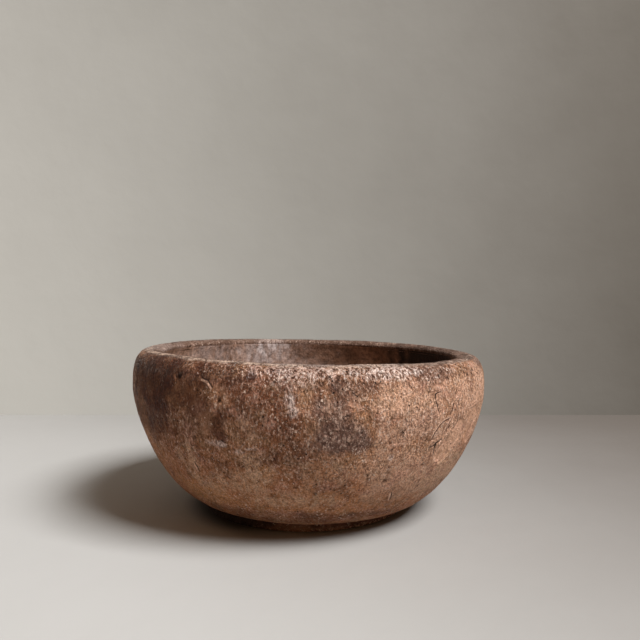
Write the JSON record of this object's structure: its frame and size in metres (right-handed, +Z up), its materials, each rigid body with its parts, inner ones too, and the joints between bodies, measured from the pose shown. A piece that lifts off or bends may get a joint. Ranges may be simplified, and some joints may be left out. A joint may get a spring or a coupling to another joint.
{
  "type": "footed bowl",
  "caption": "Thick-walled round bowl of layered paper pulp on a low foot ring, matt brown and weathered, leaning slightly to its right.",
  "frame": {"origin": "middle of the foot ring's underside, on the floor", "axes": "+Z up, -Y the front as it is seen, +X the side where the lip is lower"},
  "size_m": [0.22, 0.22, 0.0994],
  "materials": {
    "pressed_pulp": "matte",
    "weathered_layers": "matte",
    "rubbed_lining": "satin",
    "coarse_pulp": "matte"
  },
  "bodies": {
    "root": {"pulp_wall": "pressed_pulp", "outer_skin": "weathered_layers", "inner_lining": "rubbed_lining", "foot_ring": "coarse_pulp", "foot_skin": "pressed_pulp"}
  },
  "joints": []
}
